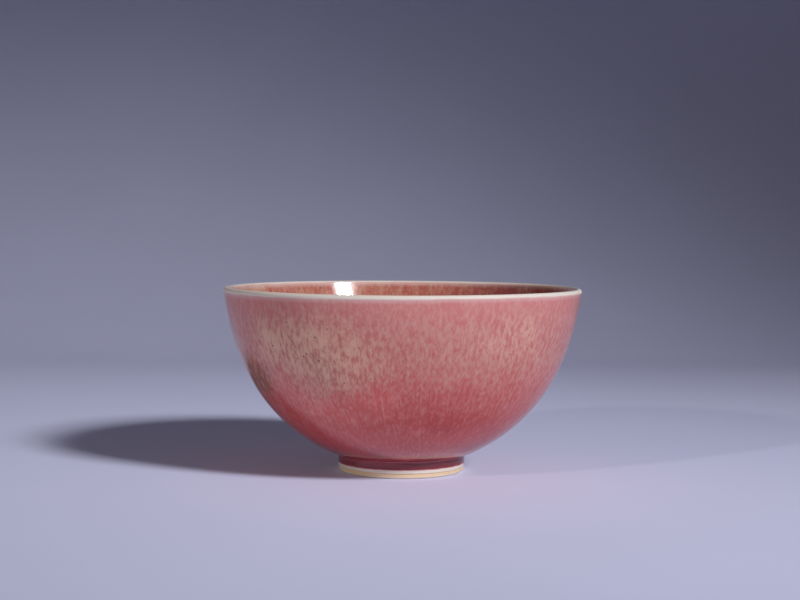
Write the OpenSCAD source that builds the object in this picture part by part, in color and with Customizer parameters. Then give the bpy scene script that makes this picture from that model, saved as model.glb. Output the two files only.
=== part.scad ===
// Peach-bloom bowl: a thrown and turned porcelain body under separate coats of glaze.
// Every piece is a half section, in [radius, height], turned about the bowl's axis.
// The origin is the centre of the foot's resting face, with +Z up.

/* [Bowl] */
// Diameter across the lip, glaze included
rim_d = 120; // [100:1:144]
// Height from the resting face to the crest of the lip
bowl_h = 61.7; // [52:0.1:75]
// Thickness of the rounded lip, glaze included
lip_t = 1.9; // [1.4:0.1:2.6]
// Outward lean of the wall just under the lip, in degrees
lip_lean = 7.3; // [4:0.1:11]
// Outward lean of the hollow just under the lip, in degrees, which thins the wall towards the lip
hollow_lean = 15; // [11:0.5:17]
// Height of the belly's lowest point, if its curve ran on across the foot
belly_low_h = 1.3; // [0.7:0.1:2]
// Reach of the round belly up the wall, against the flatter side above it
belly_share = 3.2; // [2:0.1:4.5]
// Reach of the round well up the hollow, against the flatter side above it
well_share = 4.5; // [3:0.1:5]
// Thickness of the clay floor at the centre
floor_t = 3; // [2.4:0.1:4.2]

/* [Foot] */
// Diameter of the foot, glaze included
foot_d = 42.6; // [35:0.1:52]
// Thickness of the foot ring's clay
foot_ring_t = 3.2; // [2.6:0.1:4]
// Depth of the recess under the bowl, to its glaze
recess_h = 4; // [3.6:0.1:4.8]
// Rounding of the bare edge outside the ring
foot_outer_edge_r = 0.9; // [0.5:0.1:1.2]
// Rounding of the bare edge inside the ring
foot_inner_edge_r = 0.8; // [0.5:0.1:1.2]
// Turned corner between belly and foot, in the clay
turned_corner_r = 0.4; // [0.3:0.1:1]
// Corner inside the recess, at its glaze
recess_corner_r = 1.6; // [0.8:0.1:2]

/* [Glaze] */
// Thickness of every coat
glaze_t = 0.3; // [0.2:0.05:0.4]
// Width of the white line outside, below the rounding of the lip
rim_band_out = 0.3; // [0.2:0.1:1.2]
// Width of the white line inside, below the rounding of the lip
rim_band_in = 0.3; // [0.2:0.1:1.2]
// Corner between belly and foot where the red glaze has gathered
pooled_corner_r = 0.7; // [0.5:0.1:1.2]
// Height of the red glaze's edge on the foot
red_line_h = 2.8; // [2.4:0.1:3.5]
// Height of the clear glaze's edge on the foot
clear_line_h = 1.7; // [1.3:0.1:2.1]
// Height of the base glaze's edge inside the foot ring
base_line_h = 1.6; // [1.4:0.1:2]

/* [Hidden] */
// Widest gap between a true arc and the chords that stand for it
chord_error = 0.01;
$fn = 192;

foot_r = foot_d / 2;
foot_clay_r = foot_r - glaze_t;
ring_inner_r = foot_clay_r - foot_ring_t - glaze_t;
floor_z = recess_h + glaze_t + floor_t + glaze_t;
lip_r = lip_t / 2;
lip_c = [rim_d / 2 - lip_r, bowl_h - lip_r];
lip_out = lip_c + lip_r * heading(-lip_lean);
lip_in = lip_c - lip_r * heading(-hollow_lean);

// The wall outside: the belly's arc below, the side's arc above
wall = tangent_arcs(belly_low_h, lip_out, 90 - lip_lean, belly_share);
belly_r = wall[0];
belly_c = wall[1];
side_r = wall[2];
side_c = wall[3];
wall_join = wall[4] - 90;

// The hollow inside: the well's arc below, the inner side's arc above
hollow = tangent_arcs(floor_z, lip_in, 90 - hollow_lean, well_share);
well_r = hollow[0];
well_c = hollow[1];
inside_r = hollow[2];
inside_c = hollow[3];
hollow_join = hollow[4] - 90;

// Where the white line ends on each side of the lip
band_out_at = -lip_lean - arc_angle(rim_band_out, side_r);
band_in_at = -hollow_lean - arc_angle(rim_band_in, inside_r);

function heading(angle) = [cos(angle), sin(angle)];
function turned_left(v) = [-v[1], v[0]];
function arc_angle(length, radius) = length / radius * 180 / PI;
function after_first(points) = [for (k = [1 : len(points) - 1]) points[k]];
function reversed(points) = [for (k = [len(points) - 1 : -1 : 0]) points[k]];

// Points along an arc, as many as chord_error asks for. A radius below 0 bends the other way.
function arc(centre, radius, from, to) =
    let (step = 2 * acos(1 - chord_error / abs(radius)))
    let (count = ceil(abs(to - from) / step))
    [for (k = [0 : count]) centre + radius * heading(from + (to - from) * k / count)];

// Two arcs that run smoothly from level on the axis, at low_h, up to a point and its slope.
// share is the length of the first arc's tangent against the second's.
// Gives [first radius, first centre, second radius, second centre, slope where they join].
function tangent_arcs(low_h, end, end_slope, share) =
    let (t0 = heading(0))
    let (t1 = heading(end_slope))
    let (start = [0, low_h])
    let (span = end - start)
    let (a = 2 * share * (1 - t0 * t1))
    let (b = 2 * (share * (span * t0) + span * t1))
    let (second = (sqrt(b * b + 4 * a * (span * span)) - b) / (2 * a))
    let (first = share * second)
    let (middle = (end - second * t1) - (start + first * t0))
    let (join = atan2(middle[1], middle[0]))
    let (first_r = first / tan(join / 2))
    let (second_r = second / tan((end_slope - join) / 2))
    [first_r, start + first_r * turned_left(t0), second_r, end + second_r * turned_left(t1), join];

// Each line below is the finished surface moved into the clay by inset.
// A coat lies between its line at 0 and its line at glaze_t, and the clay starts at glaze_t.

// Up the foot, round its corner and up the outside to the white line
function outer_line(inset, corner_r) =
    let (corner_x = foot_r - inset + corner_r)
    let (corner_drop = sqrt(pow(belly_r - inset + corner_r, 2) - pow(corner_x, 2)))
    let (corner_c = belly_c + [corner_x, -corner_drop])
    let (corner_at = -atan2(corner_drop, corner_x))
    concat(
        [[foot_r - inset, red_line_h]],
        arc(corner_c, corner_r, 180, 180 + corner_at),
        after_first(arc(belly_c, belly_r - inset, corner_at, wall_join)),
        after_first(arc(side_c, side_r - inset, wall_join, band_out_at))
    );

// Over the lip, from the white line's edge outside to its edge inside
function lip_line(inset) = concat(
    arc(side_c, side_r - inset, band_out_at, -lip_lean),
    after_first(arc(lip_c, lip_r - inset, -lip_lean, 180 - hollow_lean)),
    after_first(arc(inside_c, inside_r + inset, -hollow_lean, band_in_at))
);

// Down the hollow from the white line to the middle of the floor
function hollow_line(inset) = concat(
    arc(inside_c, inside_r + inset, band_in_at, hollow_join),
    after_first(arc(well_c, well_r + inset, hollow_join, -90))
);

// From the middle of the base out to the foot ring and down its inside to end_h
function base_line(inset, end_h) =
    let (corner_c = [ring_inner_r, recess_h] - recess_corner_r * [1, 1])
    concat(
        [[0, recess_h + inset]],
        arc(corner_c, recess_corner_r + inset, 90, 0),
        [[ring_inner_r + inset, end_h]]
    );

// The bare foot edge, from inside the ring to outside it
function bare_foot_line() =
    let (inner_c = [ring_inner_r + glaze_t + foot_inner_edge_r, foot_inner_edge_r])
    let (outer_c = [foot_clay_r - foot_outer_edge_r, foot_outer_edge_r])
    concat(
        arc(inner_c, foot_inner_edge_r, 180, 270),
        arc(outer_c, foot_outer_edge_r, 270, 360)
    );

module turned(outline) {
    rotate_extrude() polygon(outline);
}

module porcelain_body() {
    color("#e3d3bd") turned(concat(
        outer_line(glaze_t, turned_corner_r),
        after_first(lip_line(glaze_t)),
        after_first(hollow_line(glaze_t)),
        base_line(glaze_t, base_line_h),
        bare_foot_line()
    ));
}

module outer_glaze() {
    color("#b8737a") turned(concat(
        outer_line(0, pooled_corner_r),
        reversed(outer_line(glaze_t, turned_corner_r))
    ));
}

module inner_glaze() {
    color("#b07463") turned(concat(
        hollow_line(0),
        reversed(hollow_line(glaze_t))
    ));
}

module rim_glaze() {
    color("#dcd4cb") turned(concat(
        lip_line(0),
        reversed(lip_line(glaze_t))
    ));
}

// The clear band ends below in a rolled edge
module foot_glaze() {
    color("#cfc7c2") turned(concat(
        [[foot_clay_r, red_line_h]],
        [[foot_r, red_line_h]],
        arc([foot_clay_r, clear_line_h + glaze_t], glaze_t, 0, -90)
    ));
}

// The base coat ends inside the ring in a rolled edge
module base_glaze() {
    roll_c = [ring_inner_r + glaze_t, base_line_h + glaze_t];
    color("#e2e1da") turned(concat(
        base_line(0, base_line_h + glaze_t),
        after_first(arc(roll_c, glaze_t, 180, 270)),
        after_first(reversed(base_line(glaze_t, base_line_h)))
    ));
}

porcelain_body();
outer_glaze();
inner_glaze();
rim_glaze();
foot_glaze();
base_glaze();
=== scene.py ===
import math
import random

import bpy
from mathutils import Matrix, Vector


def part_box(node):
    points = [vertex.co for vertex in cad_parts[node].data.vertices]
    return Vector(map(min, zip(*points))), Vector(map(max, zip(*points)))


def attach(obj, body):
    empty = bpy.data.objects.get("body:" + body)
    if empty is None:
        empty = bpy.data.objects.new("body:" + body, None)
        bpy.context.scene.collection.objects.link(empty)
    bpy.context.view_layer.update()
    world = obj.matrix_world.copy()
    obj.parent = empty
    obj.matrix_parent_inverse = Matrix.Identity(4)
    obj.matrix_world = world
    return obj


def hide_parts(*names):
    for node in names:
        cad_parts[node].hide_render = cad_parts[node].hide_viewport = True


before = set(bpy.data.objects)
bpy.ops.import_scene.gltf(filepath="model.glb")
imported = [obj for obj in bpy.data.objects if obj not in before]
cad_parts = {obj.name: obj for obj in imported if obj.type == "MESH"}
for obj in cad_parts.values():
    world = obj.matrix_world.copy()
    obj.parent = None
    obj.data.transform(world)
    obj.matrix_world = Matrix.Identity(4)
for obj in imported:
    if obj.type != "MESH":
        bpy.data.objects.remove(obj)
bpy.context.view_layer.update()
mm = 0.001
print("frame loaded:", ", ".join(sorted(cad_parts)))

# Camera where the photograph was taken from, with its small roll
photoView = {
    "place": (0.0, -0.5148, 0.0832),
    "down": 0.0502,  # radians below level
    "yaw": 0.00156,
    "roll": 0.0063,
    "lens": 68.87,
    "sensor": 36,
}


def placeCamera(view):
    data = bpy.data.cameras.new("photoView")
    data.lens = view["lens"]
    data.sensor_width = view["sensor"]
    camera = bpy.data.objects.new("photoView", data)
    camera.matrix_world = (
        Matrix.Translation(view["place"])
        @ Matrix.Rotation(view["yaw"], 4, "Z")
        @ Matrix.Rotation(math.pi / 2 - view["down"], 4, "X")
        @ Matrix.Rotation(view["roll"], 4, "Z")
    )
    bpy.context.scene.collection.objects.link(camera)
    bpy.context.scene.camera = camera


def linear(hexColour):
    # sRGB hex to the linear colour that shaders take
    levels = [int(hexColour[k:k + 2], 16) / 255 for k in (1, 3, 5)]
    return tuple(v / 12.92 if v <= 0.04045 else ((v + 0.055) / 1.055) ** 2.4 for v in levels) + (1.0,)


def addNode(tree, kind, links=None, out=0, stops=None, **settings):
    # adds one node: links maps its inputs to sockets or values, stops fills a colour ramp
    node = tree.nodes.new("ShaderNode" + kind)
    for name, value in settings.items():
        setattr(node, name, value)
    for name, value in (links or {}).items():
        if isinstance(value, bpy.types.NodeSocket):
            tree.links.new(value, node.inputs[name])
        else:
            node.inputs[name].default_value = value
    if stops:
        ramp = node.color_ramp.elements
        ramp.remove(ramp[1])
        ramp[0].position = stops[0][0]
        ramp[0].color = stops[0][1]
        for place, colour in stops[1:]:
            ramp.new(place).color = colour
    return node.outputs[out] if node.outputs else node


blend = {"out": 2, "data_type": "RGBA"}  # settings of a node that mixes two colours


def newMaterial(name):
    material = bpy.data.materials.new(name)
    material.use_nodes = True
    material.node_tree.nodes.clear()
    return material, material.node_tree


placeCamera(photoView)
print("camera placed")

# Matt paper sweep, which bends up into the backdrop well behind the bowl
paperSweep = {
    "front": -3.0,
    "bendAt": 0.39,
    "bendRadius": 0.45,
    "top": 2.2,
    "halfWidth": 2.6,
    "bendSteps": 48,
    "colour": "#d8dbfb",
    "cloud": "#d2d5f4",
    "cloudWidth": 90,  # mm, a faint unevenness
    "roughness": 0.85,
}


def paperMaterial(spec):
    # pulp paper, rolled matt: no gloss, only a faint cloudiness
    material, tree = newMaterial("pulp paper, rolled matt")
    place = addNode(tree, "TexCoord", out="Object")
    cloud = addNode(tree, "TexNoise", {"Vector": place, "Scale": 1 / (spec["cloudWidth"] * mm), "Detail": 2})
    colour = addNode(tree, "Mix", {0: cloud, 6: linear(spec["colour"]), 7: linear(spec["cloud"])}, **blend)
    surface = addNode(tree, "BsdfPrincipled", {"Base Color": colour, "Roughness": spec["roughness"]})
    addNode(tree, "OutputMaterial", {"Surface": surface})
    return material


def makeSweep(spec):
    rows = [(spec["front"], 0.0)]
    for k in range(spec["bendSteps"] + 1):
        bend = math.pi / 2 * k / spec["bendSteps"]
        rows.append((spec["bendAt"] + spec["bendRadius"] * math.sin(bend),
                     spec["bendRadius"] * (1 - math.cos(bend))))
    rows.append((spec["bendAt"] + spec["bendRadius"], spec["top"]))
    verts = [(side * spec["halfWidth"], y, z) for y, z in rows for side in (-1, 1)]
    faces = [(2 * k, 2 * k + 1, 2 * k + 3, 2 * k + 2) for k in range(len(rows) - 1)]
    mesh = bpy.data.meshes.new("paperSweep")
    mesh.from_pydata(verts, [], faces)
    mesh.shade_smooth()
    mesh.materials.append(paperMaterial(spec))
    sheet = bpy.data.objects.new("paperSweep", mesh)
    bpy.context.scene.collection.objects.link(sheet)


# One soft box at the right, and a small lamp and a wide fill, both weak, at the left. Distances in metres.
lamps = {
    "softBox": {"turn": 45.5, "rise": 31, "distance": 2.0, "size": (0.314, 0.314), "watts": 1.51,
                "spread": 34, "colour": "#ffffff", "mirrored": True},
    "leftLamp": {"turn": -43, "rise": 22, "distance": 1.6, "size": (0.07, 0.07), "watts": 0.46,
                 "spread": 60, "colour": "#fff5ea", "mirrored": False},
    "leftFill": {"turn": -65, "rise": 8, "distance": 1.2, "size": (0.9, 0.3), "watts": 0.23,
                 "spread": 60, "colour": "#fff5ea", "mirrored": False},
}
roomLight = {"glow": "#8a88a6", "glowLevel": 0.06, "mirrored": "#8684a0", "seen": "#2c2c44"}
aim = Vector((0, 0, 0.03))  # the bowl's middle


def placeLamp(name, spec):
    turn = math.radians(spec["turn"])
    rise = math.radians(spec["rise"])
    way = Vector((math.sin(turn) * math.cos(rise), -math.cos(turn) * math.cos(rise), math.sin(rise)))
    data = bpy.data.lights.new(name, "AREA")
    data.shape = "RECTANGLE"
    data.size, data.size_y = spec["size"]
    data.energy = spec["watts"]
    data.spread = math.radians(spec["spread"])
    data.color = linear(spec["colour"])[:3]
    lamp = bpy.data.objects.new(name, data)
    lamp.location = aim + way * spec["distance"]
    lamp.rotation_euler = way.to_track_quat("Z", "Y").to_euler()
    lamp.visible_camera = False
    lamp.visible_glossy = spec["mirrored"]
    bpy.context.scene.collection.objects.link(lamp)


def lightRoom(spec):
    # a dim room round the sweep. The glaze mirrors it as pale as paper, and from the side it is as dark
    # as the far floor.
    world = bpy.data.worlds.new("dimRoom")
    world.use_nodes = True
    tree = world.node_tree
    tree.nodes.clear()
    ray = addNode(tree, "LightPath").node
    glow = addNode(tree, "Background", {"Color": linear(spec["glow"]), "Strength": spec["glowLevel"]})
    mirrored = addNode(tree, "Background", {"Color": linear(spec["mirrored"]), "Strength": 1.0})
    seen = addNode(tree, "Background", {"Color": linear(spec["seen"]), "Strength": 1.0})
    room = addNode(tree, "MixShader", {0: ray.outputs["Is Glossy Ray"], 1: glow, 2: mirrored})
    room = addNode(tree, "MixShader", {0: ray.outputs["Is Camera Ray"], 1: room, 2: seen})
    addNode(tree, "OutputWorld", {"Surface": room})
    bpy.context.scene.world = world


makeSweep(paperSweep)
for lampName, lampSpec in lamps.items():
    placeLamp(lampName, lampSpec)
lightRoom(roomLight)
bpy.context.scene.view_settings.view_transform = "Standard"
print("sweep and lamps placed")


def nodeBox(node):
    # a node's box in mm. Its mesh lies a hair inside the true circles, so tenths are enough.
    low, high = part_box(node)
    return [round(v / mm, 1) for v in low], [round(v / mm, 1) for v in high]


rimHigh = nodeBox("rim_glaze")[1]
footLow, footHigh = nodeBox("foot_glaze")
baseLow, baseHigh = nodeBox("base_glaze")
wellLow = nodeBox("inner_glaze")[0]

# The bowl's section in mm: heights and radii from the frame, then the curves that draw it
bowl = {
    "lipThick": 1.9,
    "lipLean": 7.3,
    "hollowLean": 15,
    "bellyLow": 1.3,
    "bellyShare": 3.2,
    "wellShare": 4.5,
    "glaze": 0.3,
    "lipBand": 0.3,  # of the white line below the lip's rounding, on both sides
    "outerEdge": 0.9,
    "innerEdge": 0.8,
    "turnedCorner": 0.4,
    "pooledCorner": 0.35,
    "recessCorner": 1.6,
    "segments": 360,
    "step": 1.0,  # between points on the finished surfaces
    "fineStep": 0.12,  # on small roundings and at glaze edges
    "rollStep": 0.06,  # on the rolled edges of the clear coats
    "hiddenStep": 2.4,  # where glaze and clay meet unseen
    "hiddenFine": 0.48,  # on the corners there
    "hiddenLip": 0.36,  # and over the lip
    "sharpAngle": 40,  # degrees, above which an edge is drawn sharp
}
glaze = bowl["glaze"]
rimR, bowlTop = rimHigh[0], rimHigh[2]
footR, redLine, clearLine = footHigh[0], footHigh[2], footLow[2]
footClayR = footR - glaze
ringInnerR = baseHigh[0] - glaze
recessTop, baseLine = baseHigh[2] - glaze, baseLow[2]
floorTop = wellLow[2] + glaze


def heading(degrees):
    return Vector((math.cos(math.radians(degrees)), math.sin(math.radians(degrees))))


def arcPoints(centre, radius, start, end, step):
    length = abs(math.radians(end - start) * radius)
    count = max(1, math.ceil(length / step))
    return [centre + radius * heading(start + (end - start) * k / count) for k in range(count + 1)]


def straightPoints(start, end, step):
    count = max(1, math.ceil((end - start).length / step))
    return [start.lerp(end, k / count) for k in range(count + 1)]


def tangentArcs(low, end, endSlope, share):
    # two arcs, smooth where they join, from level on the axis up to a point and its slope
    t0, t1 = heading(0), heading(endSlope)
    start = Vector((0, low))
    span = end - start
    a = 2 * share * (1 - t0.dot(t1))
    b = 2 * (share * span.dot(t0) + span.dot(t1))
    second = (math.sqrt(b * b + 4 * a * span.length_squared) - b) / (2 * a)
    first = share * second
    middle = (end - second * t1) - (start + first * t0)
    join = math.degrees(math.atan2(middle.y, middle.x))
    firstR = first / math.tan(math.radians(join / 2))
    secondR = second / math.tan(math.radians((endSlope - join) / 2))
    return firstR, start + Vector((0, firstR)), secondR, end + secondR * Vector((-t1.y, t1.x)), join - 90


lipR = bowl["lipThick"] / 2
lipC = Vector((rimR - lipR, bowlTop - lipR))
lipOut = lipC + lipR * heading(-bowl["lipLean"])
lipIn = lipC - lipR * heading(-bowl["hollowLean"])
bellyR, bellyC, sideR, sideC, wallJoin = tangentArcs(
    bowl["bellyLow"], lipOut, 90 - bowl["lipLean"], bowl["bellyShare"])
wellR, wellC, insideR, insideC, hollowJoin = tangentArcs(
    floorTop, lipIn, 90 - bowl["hollowLean"], bowl["wellShare"])
bandOutAt = -bowl["lipLean"] - math.degrees(bowl["lipBand"] / sideR)
bandInAt = -bowl["hollowLean"] - math.degrees(bowl["lipBand"] / insideR)


# Each line below is the finished surface moved into the clay by inset
def outerLine(inset, cornerR, step, fine):
    cornerX = footR - inset + cornerR
    cornerDrop = math.sqrt((bellyR - inset + cornerR) ** 2 - cornerX ** 2)
    cornerC = bellyC + Vector((cornerX, -cornerDrop))
    cornerAt = -math.degrees(math.atan2(cornerDrop, cornerX))
    line = straightPoints(Vector((footR - inset, redLine)), cornerC - Vector((cornerR, 0)), fine)
    line += arcPoints(cornerC, cornerR, 180, 180 + cornerAt, fine)[1:]
    line += arcPoints(bellyC, bellyR - inset, cornerAt, wallJoin, step)[1:]
    return line + arcPoints(sideC, sideR - inset, wallJoin, bandOutAt, step)[1:]


def lipLine(inset, fine):
    line = arcPoints(sideC, sideR - inset, bandOutAt, -bowl["lipLean"], fine)
    line += arcPoints(lipC, lipR - inset, -bowl["lipLean"], 180 - bowl["hollowLean"], fine)[1:]
    return line + arcPoints(insideC, insideR + inset, -bowl["hollowLean"], bandInAt, fine)[1:]


def hollowLine(inset, step):
    line = arcPoints(insideC, insideR + inset, bandInAt, hollowJoin, step)
    return line + arcPoints(wellC, wellR + inset, hollowJoin, -90, step)[1:]


def recessLine(inset, endHeight, step, fine):
    corner = bowl["recessCorner"]
    cornerC = Vector((ringInnerR - corner, recessTop - corner))
    line = straightPoints(Vector((0, recessTop + inset)), cornerC + Vector((0, corner + inset)), step)
    line += arcPoints(cornerC, corner + inset, 90, 0, fine)[1:]
    return line + straightPoints(line[-1], Vector((ringInnerR + inset, endHeight)), fine)[1:]


def bareFootLine(fine):
    inner, outer = bowl["innerEdge"], bowl["outerEdge"]
    innerC = Vector((ringInnerR + glaze + inner, inner))
    outerC = Vector((footClayR - outer, outer))
    line = straightPoints(Vector((ringInnerR + glaze, baseLine)), innerC - Vector((inner, 0)), fine)
    line += arcPoints(innerC, inner, 180, 270, fine)[1:]
    line += arcPoints(outerC, outer, 270, 360, fine)
    return line + straightPoints(line[-1], Vector((footClayR, clearLine)), fine)[1:]


# The clay's face under each coat, drawn once so that coat and clay share its points
clayOuter = outerLine(glaze, bowl["turnedCorner"], bowl["hiddenStep"], bowl["hiddenFine"])
clayLip = lipLine(glaze, bowl["hiddenLip"])
clayHollow = hollowLine(glaze, bowl["hiddenStep"])
clayRecess = recessLine(glaze, baseLine, bowl["hiddenStep"], bowl["hiddenFine"])

# What wheel, knife and kiln leave uneven, in mm. All pieces share it by place, so they stay seated.
uneven = {
    "lipOval": 0.05,
    "lipRise": 0.05,
    "ringPitch": 6.5,
    "ringDepth": 0.008,
    "ringGrowth": 3,  # to full depth at a third of the height
    "redWave": 0.05,
    "clearWave": 0.05,
    "baseWave": 0.12,
    "waveReach": 0.45,
    "faceReach": 0.5,  # points so near a face of the foot count as on it
}


def closedWave(seed, lowest, highest, count):
    # an uneven line that closes on itself, from sines that go a whole number of times round
    dice = random.Random(seed)
    terms = [(dice.randint(lowest, highest), dice.uniform(0.5, 1.0), dice.uniform(0, 2 * math.pi))
             for _ in range(count)]
    total = math.sqrt(sum(size * size for _, size, _ in terms))
    return [sum(size * math.sin(times * 2 * math.pi * j / bowl["segments"] + phase)
                for times, size, phase in terms) / total for j in range(bowl["segments"])]


ovalWave = closedWave(seed=3, lowest=2, highest=4, count=3)
riseWave = closedWave(seed=5, lowest=2, highest=5, count=3)
redWave = closedWave(seed=11, lowest=14, highest=44, count=9)
clearWave = closedWave(seed=17, lowest=12, highest=50, count=8)
baseWave = closedWave(seed=23, lowest=6, highest=40, count=8)
poolWave = closedWave(seed=29, lowest=5, highest=26, count=7)


def near(value, centre, reach):
    return math.exp(-((value - centre) / reach) ** 2)


def settled(r, z, j):
    # where a point of the true section ends up, in metres, at step j round the axis
    high = max(0.0, z / bowlTop)
    out = ovalWave[j] * uneven["lipOval"] * high ** 2
    if r > footR:
        ring = math.sin(2 * math.pi * z / uneven["ringPitch"])
        out += uneven["ringDepth"] * ring * min(1, high * uneven["ringGrowth"])
    up = riseWave[j] * uneven["lipRise"] * high ** 4
    if abs(r - footR) < uneven["faceReach"]:
        up += redWave[j] * uneven["redWave"] * near(z, redLine, uneven["waveReach"])
        up += clearWave[j] * uneven["clearWave"] * near(z, clearLine, uneven["waveReach"])
    if abs(r - ringInnerR) < uneven["faceReach"]:
        up += baseWave[j] * uneven["baseWave"] * near(z, baseLine, uneven["waveReach"])
    turn = 2 * math.pi * j / bowl["segments"]
    r += out
    return r * math.sin(turn) * mm, -r * math.cos(turn) * mm, (z + up) * mm


# How each piece's map is laid out, in shares of an island
uvLayout = {
    "shown": 0.955,  # of the height for the finished surface
    "hiddenFrom": 0.96,  # a thin strip from here up for the hidden side
    "pad": 0.012,  # left free all round
}


def turnPiece(spec, shown, hidden, material, relief=None):
    # turns a closed outline about the axis: shown runs along the finished surface, hidden is out of sight
    outline = shown + hidden
    around = bowl["segments"]
    verts = []
    rings = []
    for k, (r, z) in enumerate(outline):
        if r < 1e-6:  # on the axis, where the ring is one point
            rings.append([len(verts)] * (around + 1))
            verts.append((0, 0, z * mm))
            continue
        first = len(verts)
        for j in range(around):
            proud = relief(r, z, j) if relief and k < len(shown) else 0
            verts.append(settled(r + proud, z, j))
        rings.append([first + j for j in range(around)] + [first])
    lengths = [0.0]
    for a, b in zip(shown, shown[1:]):
        lengths.append(lengths[-1] + (b - a).length)
    along = [uvLayout["shown"] * v / lengths[-1] for v in lengths]
    start, strip = uvLayout["hiddenFrom"], 1 - uvLayout["hiddenFrom"]
    along += [start + strip * k / len(hidden) for k in range(len(hidden) + 1)]
    columns, rows = spec["islands"]
    perIsland = around // (columns * rows)
    pad = uvLayout["pad"]
    faces = []
    uvs = []
    for k in range(len(outline)):
        low, high = rings[k], rings[(k + 1) % len(outline)]
        if low[0] == low[1] and high[0] == high[1]:
            continue  # the axis itself
        for j in range(around):
            row, column = divmod(j // perIsland, columns)
            corners = []
            for ring, side, level in ((low, 0, k), (low, 1, k), (high, 1, k + 1), (high, 0, k + 1)):
                if ring[0] == ring[1]:  # there a face has one corner instead of two
                    if side == 1:
                        continue
                    side = 0.5
                u = (j % perIsland + side) / perIsland
                corners.append((ring[j + int(side)],
                                (column + pad + (1 - 2 * pad) * u) / columns,
                                (row + pad + (1 - 2 * pad) * along[level]) / rows))
            faces.append([corner[0] for corner in corners])
            uvs += [value for corner in corners for value in corner[1:]]
    mesh = bpy.data.meshes.new(spec["name"])
    mesh.from_pydata(verts, [], faces)
    mesh.uv_layers.new(name="OFBake").uv.foreach_set("vector", uvs)
    mesh.materials.append(material)
    mesh.shade_smooth()
    mesh.set_sharp_from_angle(angle=math.radians(bowl["sharpAngle"]))
    mesh.validate()
    piece = bpy.data.objects.new(spec["name"], mesh)
    bpy.context.scene.collection.objects.link(piece)
    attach(piece, "root")
    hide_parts(spec["node"])
    print(spec["name"], "turned:", len(faces), "faces")


def bowlPlace(tree):
    # place in mm, its height, and how far it lies from the bowl's axis
    metres = addNode(tree, "TexCoord", out="Object")
    place = addNode(tree, "VectorMath", {0: metres, "Scale": 1 / mm}, operation="SCALE")
    height = addNode(tree, "SeparateXYZ", {0: place}, out="Z")
    level = addNode(tree, "VectorMath", {0: place, 1: (1, 1, 0)}, operation="MULTIPLY")
    reach = addNode(tree, "VectorMath", {0: level}, out="Value", operation="LENGTH")
    return place, height, reach


def wallPlace(tree, place, height, reach, centre, radius):
    # the wall laid out flat: round the bowl at the lip's width, and along the curve that the glaze ran down
    below = addNode(tree, "Math", {0: centre.y, 1: height}, operation="SUBTRACT")
    swing = addNode(tree, "Math", {0: reach, 1: below}, operation="ARCTAN2")
    run = addNode(tree, "Math", {0: swing, 1: radius}, operation="MULTIPLY")
    level = addNode(tree, "VectorMath", {0: place, 1: (1, 1, 0)}, operation="MULTIPLY")
    outward = addNode(tree, "VectorMath", {0: level}, operation="NORMALIZE")
    wide = addNode(tree, "VectorMath", {0: outward, "Scale": rimR}, operation="SCALE")
    down = addNode(tree, "CombineXYZ", {"Z": run})
    return addNode(tree, "VectorMath", {0: wide, 1: down}, operation="ADD")


def wallPoint(turn, height):
    # a point on the wall at so many degrees right of the front, as a place in mm
    r = math.sqrt(bellyR ** 2 - (bellyC.y - height) ** 2)
    return r * math.sin(math.radians(turn)), -r * math.cos(math.radians(turn)), height


def heightRamp(tree, height, stops):
    # colours, or plain levels, set out by height in mm
    low, high = stops[0][0], stops[-1][0]
    share = addNode(tree, "MapRange", {"Value": height, "From Min": low, "From Max": high})
    return addNode(tree, "ValToRGB", {"Fac": share}, stops=[
        ((z - low) / (high - low), linear(c) if isinstance(c, str) else (c, c, c, 1)) for z, c in stops])


def wandering(tree, place, height, reach, width):
    # height that strays up and down by reach, so that a line at one height comes out uneven
    stray = addNode(tree, "TexNoise", {"Vector": place, "Scale": 1 / width, "Detail": 2})
    shift = addNode(tree, "Math", {0: stray, 1: 2 * reach, 2: -reach}, operation="MULTIPLY_ADD")
    return addNode(tree, "Math", {0: height, 1: shift}, operation="ADD")


def raggedPlace(tree, place, spec):
    # place moved about a little, which gives whatever is drawn by it a ragged edge
    ragged = addNode(tree, "TexNoise", {"Vector": place, "Scale": 1 / spec["raggedWidth"], "Detail": 3},
                     out="Color")
    ragged = addNode(tree, "VectorMath", {0: ragged, 1: (0.5, 0.5, 0.5)}, operation="SUBTRACT")
    ragged = addNode(tree, "VectorMath", {0: ragged, "Scale": spec["ragged"]}, operation="SCALE")
    return addNode(tree, "VectorMath", {0: place, 1: ragged}, operation="ADD")


patchCore = 0.2  # of a patch's reach is at full strength
speckCore = 0.45  # and so much of a speck's size
noiseLow, noiseHigh = 0.3, 0.7  # nearly all of a noise lies between these


def patchwork(tree, strayed, patches):
    # patches on the wall: 1 in the middle of a full one, below 0 where one takes away
    total = 0.0
    for turn, level, wide, tall, strength in patches:
        away = addNode(tree, "VectorMath", {0: strayed, 1: wallPoint(turn, level)}, operation="SUBTRACT")
        away = addNode(tree, "VectorMath", {0: away, 1: (1, 1, wide / tall)}, operation="MULTIPLY")
        away = addNode(tree, "VectorMath", {0: away}, out="Value", operation="LENGTH")
        inside = addNode(tree, "MapRange", {"Value": away, "From Min": patchCore * wide, "From Max": wide,
                                            "To Min": strength, "To Max": 0.0},
                         interpolation_type="SMOOTHSTEP")
        total = addNode(tree, "Math", {0: total, 1: inside}, operation="ADD")
    return total


def glazeRuns(tree, flow, runs):
    # streaks that the glaze left as it ran: one noise for each width, length and share
    total = 0.0
    for wide, long, share in runs:
        stretch = (1 / wide, 1 / wide, 1 / long)
        stretched = addNode(tree, "VectorMath", {0: flow, 1: stretch}, operation="MULTIPLY")
        streak = addNode(tree, "TexNoise", {"Vector": stretched, "Scale": 1.0, "Detail": 2})
        total = addNode(tree, "Math", {0: streak, 1: share, 2: total}, operation="MULTIPLY_ADD")
    return total


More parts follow.
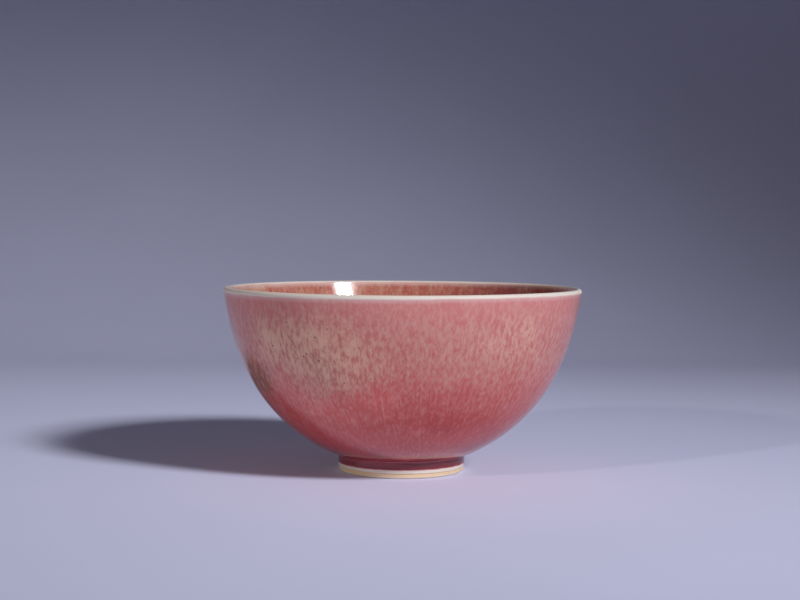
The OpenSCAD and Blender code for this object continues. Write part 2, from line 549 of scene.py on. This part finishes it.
def flecks(tree, runs, cover, spec):
    # the paler part of the runs, as much as cover asks for
    span, soft = spec["fleckRange"], spec["fleckSoft"]
    edge = addNode(tree, "Math", {0: cover, 1: -span, 2: 0.5 + 0.5 * span}, operation="MULTIPLY_ADD")
    above = addNode(tree, "Math", {0: runs, 1: edge}, operation="SUBTRACT")
    return addNode(tree, "MapRange", {"Value": above, "From Min": -soft, "From Max": soft},
                   interpolation_type="SMOOTHSTEP")


def specks(tree, place, spec):
    # round specks here and there, of up to the size given
    cells = addNode(tree, "TexVoronoi", {"Vector": place, "Scale": 1 / spec["speckSpacing"]})
    edge = spec["speckSize"] / spec["speckSpacing"]
    return addNode(tree, "MapRange", {"Value": cells, "From Min": speckCore * edge, "From Max": edge,
                                      "To Min": spec["speckStrength"], "To Max": 0.0})


# The lip, where the red ran off and left white, with the white painted further down outside at the left as
# painted light, where the lamps reach the lip little. Depths in mm below the crest.
drainedLipAndLeftLight = {
    "bare": 0.85,  # white down to here
    "blush": 1.25,  # pale rose
    "blushShare": 0.6,  # of the white is gone there
    "rose": 2.9,  # no white left
    "inside": 0.5,  # ends so much higher on the inside
    "insideReach": 0.3,  # from so far outside the lip's middle to so far inside it
    # painted light: outside at the left the white reaches this much lower, where the lamps light the lip
    # little
    "left": 0.4,  # and so much lower outside at the left
    "leftSpan": (-25, 20),  # in full left of the first, not at all right of the second
    "outsideReach": 0.6,  # from the lip's middle to where that is in full
    "wander": 0.3,
    "wanderWidth": 7,
}


def lipWhite(tree, place, height, reach, spec):
    # share of white at a place: most of it fades quickly below the crest, the rest slowly. Outside at the
    # left it reaches lower, which is painted light.
    moved = wandering(tree, place, height, spec["wander"], spec["wanderWidth"])
    middle, aside = lipC.x, spec["insideReach"]
    inside = addNode(tree, "MapRange", {"Value": reach, "From Min": middle - aside,
                                        "From Max": middle + aside,
                                        "To Min": spec["inside"], "To Max": 0.0},
                     interpolation_type="SMOOTHSTEP")
    moved = addNode(tree, "Math", {0: moved, 1: inside}, operation="SUBTRACT")
    across = addNode(tree, "SeparateXYZ", {0: place}, out="X")
    full, none = spec["leftSpan"]
    left = addNode(tree, "MapRange", {"Value": across, "From Min": full, "From Max": none,
                                      "To Min": spec["left"], "To Max": 0.0},
                   interpolation_type="SMOOTHSTEP")
    outside = addNode(tree, "MapRange", {"Value": reach, "From Min": middle,
                                         "From Max": middle + spec["outsideReach"]})
    moved = addNode(tree, "Math", {0: left, 1: outside, 2: moved}, operation="MULTIPLY_ADD")
    total = 0.0
    for depth, share in ((spec["blush"], spec["blushShare"]), (spec["rose"], 1 - spec["blushShare"])):
        part = addNode(tree, "MapRange", {"Value": moved, "From Min": bowlTop - depth,
                                          "From Max": bowlTop - spec["bare"], "To Max": share},
                       interpolation_type="SMOOTHSTEP")
        total = addNode(tree, "Math", {0: total, 1: part}, operation="ADD")
    return total


# The skin of a fired glaze: a soft orange peel with fine pits, in mm
glazeFinish = {"peelWidth": 2.4, "peelDepth": 0.018, "pitWidth": 0.7, "pitDepth": 0.009}
glassIor = 1.5  # of the glaze, and near enough of porcelain


def glazeSkin(tree, place, spec):
    peel = addNode(tree, "TexNoise", {"Vector": place, "Scale": 1 / spec["peelWidth"], "Detail": 1})
    pits = addNode(tree, "TexNoise", {"Vector": place, "Scale": 1 / spec["pitWidth"], "Detail": 1})
    soft = addNode(tree, "Bump", {"Height": peel, "Distance": spec["peelDepth"] * mm, "Strength": 1.0})
    return addNode(tree, "Bump", {"Height": pits, "Distance": spec["pitDepth"] * mm, "Strength": 1.0,
                                  "Normal": soft})


def surfaceFrom(tree, colour, roughness, normal):
    surface = addNode(tree, "BsdfPrincipled", {"Base Color": colour, "Roughness": roughness, "IOR": glassIor,
                                               "Normal": normal})
    addNode(tree, "OutputMaterial", {"Surface": surface})


def bloomLayers(tree, place, height, spec):
    # what the two red coats share: cream patches and flushes with ragged edges (red outside, dark painted
    # shade on the right inside), a slow cloud, and how much of the ground lies under flecks
    strayed = raggedPlace(tree, place, spec)
    patch = patchwork(tree, strayed, spec["patches"])
    cream = addNode(tree, "MapRange", {"Value": patch})
    flushAndShade = addNode(tree, "MapRange", {"Value": patchwork(tree, strayed, spec["flushesAndShades"])})
    cloud = addNode(tree, "TexNoise", {"Vector": place, "Scale": 1 / spec["cloudWidth"], "Detail": 3})
    drift = addNode(tree, "Math", {0: cloud, 1: spec["drift"], 2: -0.5 * spec["drift"]},
                    operation="MULTIPLY_ADD")
    cover = heightRamp(tree, height, spec["cover"])
    cover = addNode(tree, "Math", {0: patch, 1: spec["patchCover"], 2: cover}, operation="MULTIPLY_ADD")
    cover = addNode(tree, "Math", {0: cover, 1: drift}, operation="ADD")
    return strayed, cream, flushAndShade, cloud, cover


def bloomSurface(tree, place, height, reach, colour, cloud, spec):
    # and how they end: white towards the lip, painted lower at the left as painted light, and a gloss that
    # goes with the cloud
    white = lipWhite(tree, place, height, reach, drainedLipAndLeftLight)
    colour = addNode(tree, "Mix", {0: white, 6: colour, 7: linear(spec["lipWhite"])}, **blend)
    gloss = addNode(tree, "MapRange", {"Value": cloud, "From Min": noiseLow, "From Max": noiseHigh,
                                       "To Min": spec["roughness"][0], "To Max": spec["roughness"][1]})
    surfaceFrom(tree, colour, gloss, glazeSkin(tree, place, glazeFinish))


outerGlaze = {
    "name": "outer_glaze_skin",
    "node": "outer_glaze",
    "slot": "peachbloom_outside",
    "islands": (2, 2),
    # colours by height. On the foot, ground and flecks are alike: pooled and dark, lightened towards the
    # corner as painted light, with a thin bright line there that is a painted highlight. Above it they part:
    # rose on the belly, paler towards the lip.
    "foot": [(2.8, "#ccbab4"), (2.92, "#c29490"), (3.05, "#962e37"), (3.2, "#7c2931"), (3.4, "#702d35"),
             (4.2, "#76323b"), (4.9, "#7e3740"), (5.42, "#8a414a"), (5.56, "#cc7c84"), (5.7, "#c8757d"),
             (5.9, "#8e363d"), (6.25, "#88333a"), (6.8, "#983f46")],
    "ground": [(9, "#9c4145"), (14, "#ac3d3b"), (22, "#af4039"), (30, "#b3514c"), (36, "#b45955"),
               (44, "#b05e5b"), (52, "#b66866"), (58, "#be7370")],
    "pale": [(9, "#a84e54"), (14, "#c06062"), (22, "#bf6a66"), (30, "#be7a74"), (38, "#bb847b"),
             (50, "#bc867e"), (59, "#c38984")],
    "flushAndShade": "#cc5d56",
    "flushPale": "#d68880",
    "patchGround": "#b66a65",
    "patchCream": "#d2a591",
    "olive": "#845540",
    "lipWhite": "#dccbc9",
    "speck": "#544530",
    # share of the ground under flecks, by height
    "cover": [(10, 0.1), (24, 0.27), (34, 0.46), (42, 0.53), (52, 0.5), (57, 0.38), (60, 0.3)],
    "patchCover": 0.1,
    # degrees right of the front, height, reach across, reach up and down, strength
    "patches": [(-34, 44, 34, 17, 1.0), (-24, 34, 16, 10, 0.4), (37, 47, 22, 11, 0.45),
                (-64, 57, 18, 10, -0.6), (-44, 59, 18, 6, -0.6), (-6, 40, 8, 10, 0.25),
                (7, 43, 8, 12, -0.18), (50, 33, 17, 8, -1.6), (100, 43, 26, 14, 0.7),
                (152, 47, 30, 15, 0.9), (-150, 42, 34, 16, 1.0), (-100, 50, 18, 10, 0.5),
                (178, 36, 14, 9, -0.3)],
    "flushesAndShades": [(-24, 28, 30, 17, 1.0), (4, 14, 32, 8.5, 0.6), (32, 8.5, 22, 4, 0.5), (110, 22, 26, 13, 0.9),
                (-140, 20, 30, 12, 0.8)],
    "olives": [(-66, 34, 16, 10, 1.0), (-40, 46, 13, 6, 0.25), (-27, 39, 11, 5, 0.25), (140, 30, 15, 8, 0.7),
               (-142, 45, 14, 6, 0.25)],
    "ragged": 16,
    "raggedWidth": 9,
    "wander": 0.15,  # of the red edge on the foot
    "wanderWidth": 2.2,
    "drift": 0.7,
    "cloudWidth": 12,
    # width, length and share of each size of streak
    "runs": [(1.3, 2.7, 0.54), (0.65, 1.3, 0.32), (0.6, 4.5, 0.14)],
    "fleckRange": 0.26,
    "fleckSoft": 0.15,
    "grainWidth": 0.4,  # real bubbles are finer, too fine to show
    "grain": 0.05,
    "speckSpacing": 3.0,
    "speckSize": 0.45,
    "speckStrength": 0.9,
    "roughness": (0.08, 0.14),
}


def outerMaterial(spec):
    # copper-red glaze, sprayed on and fired in a smoky kiln: rose, with pale flecks that ran down the wall
    material, tree = newMaterial("peach-bloom glaze, sprayed and reduction fired")
    place, height, reach = bowlPlace(tree)
    flow = wallPlace(tree, place, height, reach, bellyC, bellyR)
    strayed, cream, flushAndShade, cloud, cover = bloomLayers(tree, place, height, spec)
    moved = wandering(tree, place, height, spec["wander"], spec["wanderWidth"])
    # the foot's stops hold painted light and a painted highlight line in the corner
    ground = heightRamp(tree, moved, spec["foot"] + spec["ground"])
    ground = addNode(tree, "Mix", {0: flushAndShade, 6: ground, 7: linear(spec["flushAndShade"])}, **blend)
    ground = addNode(tree, "Mix", {0: cream, 6: ground, 7: linear(spec["patchGround"])}, **blend)
    # green-brown where the copper took up air again
    olive = addNode(tree, "MapRange", {"Value": patchwork(tree, strayed, spec["olives"])})
    ground = addNode(tree, "Mix", {0: olive, 6: ground, 7: linear(spec["olive"])}, **blend)
    pale = heightRamp(tree, moved, spec["foot"] + spec["pale"])
    pale = addNode(tree, "Mix", {0: flushAndShade, 6: pale, 7: linear(spec["flushPale"])}, **blend)
    pale = addNode(tree, "Mix", {0: cream, 6: pale, 7: linear(spec["patchCream"])}, **blend)
    fleck = flecks(tree, glazeRuns(tree, flow, spec["runs"]), cover, spec)
    colour = addNode(tree, "Mix", {0: fleck, 6: ground, 7: pale}, **blend)
    # fine bubbles in the glass make it a little lighter and darker from point to point
    bubbles = addNode(tree, "TexNoise", {"Vector": place, "Scale": 1 / spec["grainWidth"], "Detail": 1})
    level = addNode(tree, "MapRange", {"Value": bubbles, "From Min": noiseLow, "From Max": noiseHigh,
                                       "To Min": 1 - spec["grain"], "To Max": 1 + spec["grain"]})
    colour = addNode(tree, "VectorMath", {0: colour, "Scale": level}, operation="SCALE")
    # green-brown copper specks where the glaze is pale
    speck = addNode(tree, "Math", {0: specks(tree, place, spec), 1: cream}, operation="MULTIPLY")
    colour = addNode(tree, "Mix", {0: speck, 6: colour, 7: linear(spec["speck"])}, **blend)
    bloomSurface(tree, place, height, reach, colour, cloud, spec)
    return material


# How the red glaze lies on the foot, in mm from its edge: a rolled edge, a shoulder and a groove above it
pooledFoot = {
    "roll": 0.04,
    "rollAt": 0.32,
    "rollReach": 0.26,
    "shoulder": 0.02,
    "shoulderAt": 2.1,
    "shoulderReach": 0.2,
    "groove": 0.04,
    "grooveAt": 2.5,
    "grooveReach": 0.14,
    "uneven": 0.35,
}


def pooledRelief(r, z, j):
    spec = pooledFoot
    above = z - redLine
    roll = spec["roll"] * near(above, spec["rollAt"], spec["rollReach"])
    shoulder = spec["shoulder"] * near(above, spec["shoulderAt"], spec["shoulderReach"])
    groove = spec["groove"] * near(above, spec["grooveAt"], spec["grooveReach"])
    return roll + (shoulder - groove) * (1 + spec["uneven"] * poolWave[j])


outerShown = outerLine(0, bowl["pooledCorner"], bowl["step"], bowl["fineStep"])
turnPiece(outerGlaze, outerShown, clayOuter[::-1], outerMaterial(outerGlaze), pooledRelief)

innerGlaze = {
    "name": "inner_glaze_skin",
    "node": "inner_glaze",
    "slot": "peachbloom_inside",
    "islands": (2, 2),
    "ground": [(7, "#a2564c"), (20, "#a4564b"), (45, "#a4564a"), (59.3, "#a25248"), (60.1, "#ac6460"),
               (60.9, "#b87e7a")],
    "pale": [(7, "#b28a74"), (40, "#b48a74"), (59.3, "#b48470"), (60.1, "#bc9082"), (60.9, "#c6a49c")],
    # dark maroon: painted shade where the lip shades the right inner wall, and a dark flush in the well
    "flushAndShade": "#843c34",
    "patchGround": "#b48478",
    "patchCream": "#cab2a2",
    "lipWhite": "#d0c4bc",
    "speck": "#5e5034",
    "cover": [(7, 0.45), (30, 0.5), (55, 0.5), (60, 0.4)],
    "patchCover": 0.25,
    # the strong patch at 130 degrees takes the pale runs away as part of the painted shade, and the first
    # flush is that painted shade
    "patches": [(-116, 62, 28, 6, 0.45), (130, 57, 58, 16, -1.8), (40, 40, 26, 18, 0.3),
                (-30, 36, 24, 16, 0.25)],
    "flushesAndShades": [(122, 55, 50, 18, 1.0), (-20, 30, 30, 14, 0.4)],
    "ragged": 14,
    "raggedWidth": 8,
    "drift": 0.5,
    "cloudWidth": 9,
    "runs": [(1.9, 3.4, 0.5), (0.8, 1.3, 0.5)],
    "fleckRange": 0.26,
    "fleckSoft": 0.22,
    "mottleWidth": 3.0,
    "wallSpan": (14, 34),  # from the axis: no runs within the first, all runs past the second
    "speckSpacing": 2.0,
    "speckSize": 0.4,
    "speckStrength": 0.75,
    "roughness": (0.09, 0.15),
}


def innerMaterial(spec):
    # the same glaze inside, where less smoke reached it: orange-red, with cream runs and green-brown specks,
    # and painted shade on the right wall under the lip
    material, tree = newMaterial("peach-bloom glaze, poured and reduction fired")
    place, height, reach = bowlPlace(tree)
    flow = wallPlace(tree, place, height, reach, wellC, wellR)
    _, cream, flushAndShade, cloud, cover = bloomLayers(tree, place, height, spec)
    ground = heightRamp(tree, height, spec["ground"])
    # painted shade: the dark flush on the right inner wall
    ground = addNode(tree, "Mix", {0: flushAndShade, 6: ground, 7: linear(spec["flushAndShade"])}, **blend)
    ground = addNode(tree, "Mix", {0: cream, 6: ground, 7: linear(spec["patchGround"])}, **blend)
    pale = heightRamp(tree, height, spec["pale"])
    pale = addNode(tree, "Mix", {0: cream, 6: pale, 7: linear(spec["patchCream"])}, **blend)
    # the runs draw together towards the well, so there the pattern goes by plain place
    wallFrom, wallFull = spec["wallSpan"]
    onWall = addNode(tree, "MapRange", {"Value": reach, "From Min": wallFrom, "From Max": wallFull},
                     interpolation_type="SMOOTHSTEP")
    mottle = addNode(tree, "TexNoise", {"Vector": place, "Scale": 1 / spec["mottleWidth"], "Detail": 3})
    runs = glazeRuns(tree, flow, spec["runs"])
    runs = addNode(tree, "Mix", {0: onWall, 2: mottle, 3: runs}, data_type="FLOAT")
    fleck = flecks(tree, runs, cover, spec)
    colour = addNode(tree, "Mix", {0: fleck, 6: ground, 7: pale}, **blend)
    speck = specks(tree, place, spec)
    colour = addNode(tree, "Mix", {0: speck, 6: colour, 7: linear(spec["speck"])}, **blend)
    bloomSurface(tree, place, height, reach, colour, cloud, spec)
    return material


turnPiece(innerGlaze, hollowLine(0, bowl["step"]), clayHollow[::-1], innerMaterial(innerGlaze))

rimGlaze = {
    "name": "rim_glaze_skin",
    "node": "rim_glaze",
    "slot": "clear_lip",
    "islands": (1, 8),
    "white": "#d5cdc8",
    "warm": "#d1c6bb",
    "rose": "#c68483",
    "cloudWidth": 9,
    "roughness": (0.1, 0.62),  # inside and outside
    "glossSpan": (-0.5, 0.1),  # from the lip's middle, where the one turns into the other
}


def rimMaterial(spec):
    # colourless glaze over white clay, left where the red ran off, with the white painted lower outside at
    # the left as painted light: off-white, warmer in places, glassy inside and worn to a soft sheen outside
    material, tree = newMaterial("clear glaze, drained at the lip")
    place, height, reach = bowlPlace(tree)
    cloud = addNode(tree, "TexNoise", {"Vector": place, "Scale": 1 / spec["cloudWidth"], "Detail": 2})
    pale = addNode(tree, "Mix", {0: cloud, 6: linear(spec["white"]), 7: linear(spec["warm"])}, **blend)
    white = lipWhite(tree, place, height, reach, drainedLipAndLeftLight)
    colour = addNode(tree, "Mix", {0: white, 6: linear(spec["rose"]), 7: pale}, **blend)
    low, high = spec["glossSpan"]
    gloss = addNode(tree, "MapRange", {"Value": reach, "From Min": lipC.x + low, "From Max": lipC.x + high,
                                       "To Min": spec["roughness"][0], "To Max": spec["roughness"][1]})
    surfaceFrom(tree, colour, gloss, glazeSkin(tree, place, glazeFinish))
    return material


turnPiece(rimGlaze, lipLine(0, bowl["fineStep"]), clayLip[::-1], rimMaterial(rimGlaze))

footGlaze = {
    "name": "foot_glaze_skin",
    "node": "foot_glaze",
    "slot": "clear_foot",
    "islands": (1, 8),
    "bands": [(1.7, "#caa87c"), (1.8, "#cfba9e"), (1.92, "#cfc7bd"), (2.55, "#cdc4bc"), (2.8, "#ccbab4")],
    "wander": 0.06,
    "wanderWidth": 2.5,
    "roughness": 0.1,
}


def footMaterial(spec):
    # thin colourless glaze over the clay: greyish white, stained tan at its edge and pink under the red
    material, tree = newMaterial("clear glaze, thin on the foot")
    place, height, _ = bowlPlace(tree)
    moved = wandering(tree, place, height, spec["wander"], spec["wanderWidth"])
    colour = heightRamp(tree, moved, spec["bands"])
    surfaceFrom(tree, colour, spec["roughness"], glazeSkin(tree, place, glazeFinish))
    return material


footRoll = arcPoints(Vector((footClayR, clearLine + glaze)), glaze, -90, 0, bowl["rollStep"])
footWall = straightPoints(footRoll[-1], Vector((footR, redLine)), bowl["fineStep"])
footBack = straightPoints(Vector((footClayR, redLine)), Vector((footClayR, clearLine)), bowl["fineStep"])
turnPiece(footGlaze, footRoll + footWall[1:], footBack[:-1], footMaterial(footGlaze))

baseGlaze = {
    "name": "base_glaze_skin",
    "node": "base_glaze",
    "slot": "clear_base",
    "islands": (2, 2),
    "white": "#d5d4cb",
    "green": "#c8ccbf",
    "speck": "#8a7458",
    "cloudWidth": 11,
    "speckSpacing": 4.5,
    "speckSize": 0.3,
    "speckStrength": 0.8,
    "roughness": 0.1,
}


def baseMaterial(spec):
    # clear glaze under the bowl: white with a cool green cast where it lies thick, and a few iron specks
    material, tree = newMaterial("clear glaze, poured under the base")
    place, _, _ = bowlPlace(tree)
    cloud = addNode(tree, "TexNoise", {"Vector": place, "Scale": 1 / spec["cloudWidth"], "Detail": 3})
    colour = addNode(tree, "Mix", {0: cloud, 6: linear(spec["white"]), 7: linear(spec["green"])}, **blend)
    speck = specks(tree, place, spec)
    colour = addNode(tree, "Mix", {0: speck, 6: colour, 7: linear(spec["speck"])}, **blend)
    surfaceFrom(tree, colour, spec["roughness"], glazeSkin(tree, place, glazeFinish))
    return material


baseShown = recessLine(0, baseLine + glaze, bowl["step"], bowl["fineStep"])
baseRollC = Vector((ringInnerR + glaze, baseLine + glaze))
baseShown += arcPoints(baseRollC, glaze, 180, 270, bowl["rollStep"])[1:]
turnPiece(baseGlaze, baseShown, clayRecess[::-1][1:], baseMaterial(baseGlaze))

porcelainBody = {
    "name": "porcelain_body_bare",
    "node": "porcelain_body",
    "slot": "porcelain",
    "islands": (1, 8),
    "bands": [(0.0, "#cfc1b0"), (0.5, "#d5c3ac"), (0.86, "#d7c3a9"), (0.97, "#cba981"), (1.06, "#cba981"),
              (1.16, "#d7c0a3"), (1.42, "#d6bc9a"), (1.55, "#cca676"), (1.7, "#caa274")],
    "wander": 0.06,
    "wanderWidth": 4,
    "grain": "#cbb294",
    "grainWidth": 0.35,  # drawn coarser than the clay's own, so that it shows
    "grainSpan": (0.4, 0.75),  # of the noise
    "grainShare": 0.5,  # at the most
    "grainDepth": 0.006,
    "speck": "#4b3c30",
    "speckSpacing": 1.9,
    "speckSize": 0.17,
    "speckStrength": 0.8,
    "groove": 0.05,
    "grooveAt": 1.0,
    "grooveReach": 0.1,
    "roughness": 0.55,
}


def porcelainMaterial(spec):
    # bare fired porcelain, turned and wiped: dry and buff, flushed orange in lines below the glaze
    material, tree = newMaterial("porcelain, turned and fired bare")
    place, height, _ = bowlPlace(tree)
    moved = wandering(tree, place, height, spec["wander"], spec["wanderWidth"])
    colour = heightRamp(tree, moved, spec["bands"])
    grain = addNode(tree, "TexNoise", {"Vector": place, "Scale": 1 / spec["grainWidth"], "Detail": 3})
    low, high = spec["grainSpan"]
    patchy = addNode(tree, "MapRange", {"Value": grain, "From Min": low, "From Max": high,
                                        "To Max": spec["grainShare"]})
    colour = addNode(tree, "Mix", {0: patchy, 6: colour, 7: linear(spec["grain"])}, **blend)
    speck = specks(tree, place, spec)
    colour = addNode(tree, "Mix", {0: speck, 6: colour, 7: linear(spec["speck"])}, **blend)
    dry = addNode(tree, "Bump", {"Height": grain, "Distance": spec["grainDepth"] * mm, "Strength": 1.0})
    surfaceFrom(tree, colour, spec["roughness"], dry)
    return material


def footGroove(r, z, j):
    # the knife's shallow line round the outside of the foot
    spec = porcelainBody
    if r < footClayR - uneven["faceReach"]:
        return 0.0
    return -spec["groove"] * near(z, spec["grooveAt"], spec["grooveReach"])


clayCovered = clayOuter + clayLip[1:] + clayHollow[1:] + clayRecess[:-1]
turnPiece(porcelainBody, bareFootLine(bowl["fineStep"]), clayCovered, porcelainMaterial(porcelainBody),
          footGroove)

bpy.context.view_layer.update()
